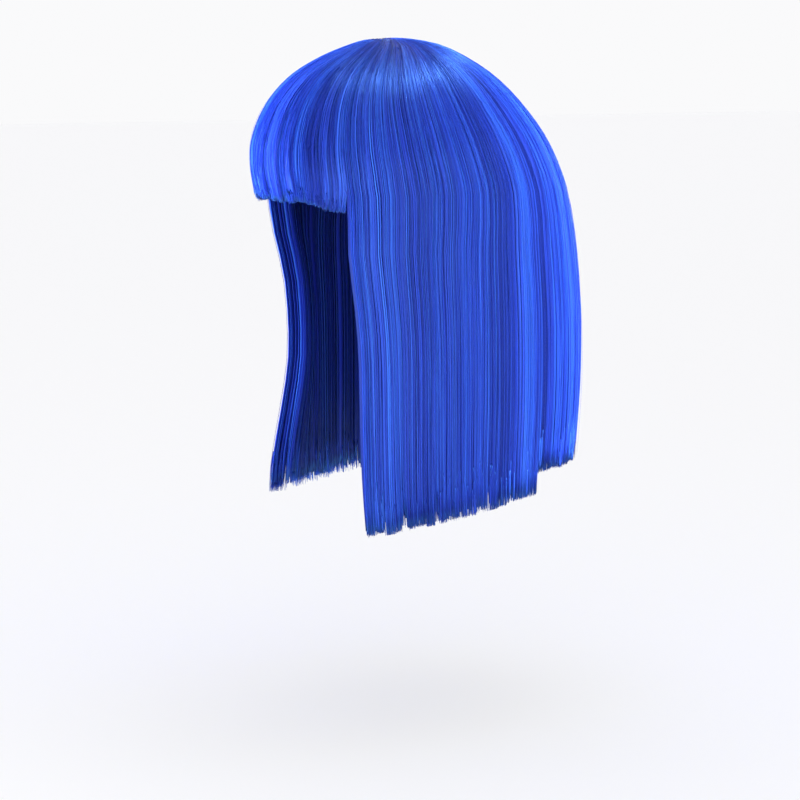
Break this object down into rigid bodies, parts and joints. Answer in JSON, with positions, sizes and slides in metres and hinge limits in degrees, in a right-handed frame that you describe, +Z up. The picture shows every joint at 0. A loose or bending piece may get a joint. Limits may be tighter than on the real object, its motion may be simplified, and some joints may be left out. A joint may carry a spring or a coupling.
{
  "type": "costume wig",
  "caption": "Straight bob wig with a blunt fringe, worn on the head: hair sections sewn to a stretch-net cap with ear tabs and nape adjusters.",
  "frame": {"origin": "inside top of the cap, where the crown of the head rests", "axes": "+Z up out of the crown, the face looks along -Y, +X is the wearer's left"},
  "size_m": [0.194, 0.2498, 0.343],
  "materials": {
    "hair": "satin",
    "net": "matte",
    "ribbon": "matte",
    "band": "matte",
    "weft_seam": "matte",
    "skin_top": "matte",
    "elastic": "matte",
    "hook": "satin",
    "tab": "matte",
    "stay": "satin",
    "label": "matte"
  },
  "bodies": {
    "cap": {"adjuster_strap_left": "elastic", "adjuster_strap_right": "elastic", "care_label": "label", "hair_back_left": "hair", "hair_back_middle": "hair", "hair_back_right": "hair", "hair_curtain_left": "hair", "hair_curtain_right": "hair", "hair_fringe": "hair", "hair_nape": "hair", "hair_side_left": "hair", "hair_side_right": "hair", "hairline_band": "band", "loop_tape_left": "ribbon", "loop_tape_right": "ribbon", "nape_band": "band", "net_panel_left": "net", "net_panel_middle": "net", "net_panel_right": "net", "seam_ribbon_left": "ribbon", "seam_ribbon_middle": "ribbon", "seam_ribbon_right": "ribbon", "skin_top_patch": "skin_top", "weft_row_1": "weft_seam", "weft_row_2": "weft_seam", "weft_row_3": "weft_seam", "weft_row_4": "weft_seam", "weft_row_5": "weft_seam", "weft_row_6": "weft_seam", "weft_row_7": "weft_seam", "weft_row_8": "weft_seam", "weft_row_front_1": "weft_seam", "weft_row_front_2": "weft_seam"},
    "hook_left": {"adjuster_hook_left": "hook"},
    "hook_right": {"adjuster_hook_right": "hook"},
    "ear_tab_left": {"ear_tab_left": "tab", "ear_stay_left": "stay"},
    "ear_tab_right": {"ear_tab_right": "tab", "ear_stay_right": "stay"}
  },
  "joints": [
    {"name": "hook_left_travel", "type": "hinge", "parent": "cap", "child": "hook_left", "pos_m": [0, 0.028, -0.138], "axis": [0, 0, -1], "range_deg": [-8, 16], "deforming": ["adjuster_strap_left"]},
    {"name": "hook_right_travel", "type": "hinge", "parent": "cap", "child": "hook_right", "pos_m": [0, 0.028, -0.138], "axis": [0, 0, 1], "range_deg": [-8, 16], "deforming": ["adjuster_strap_right"]},
    {"name": "ear_tab_left_flex", "type": "hinge", "parent": "cap", "child": "ear_tab_left", "pos_m": [0.0724, -0.032, -0.08425], "axis": [0.287, 0.9579, 0], "range_deg": [0, 25]},
    {"name": "ear_tab_right_flex", "type": "hinge", "parent": "cap", "child": "ear_tab_right", "pos_m": [-0.0724, -0.032, -0.08425], "axis": [0.287, -0.9579, 0], "range_deg": [0, 25]}
  ]
}
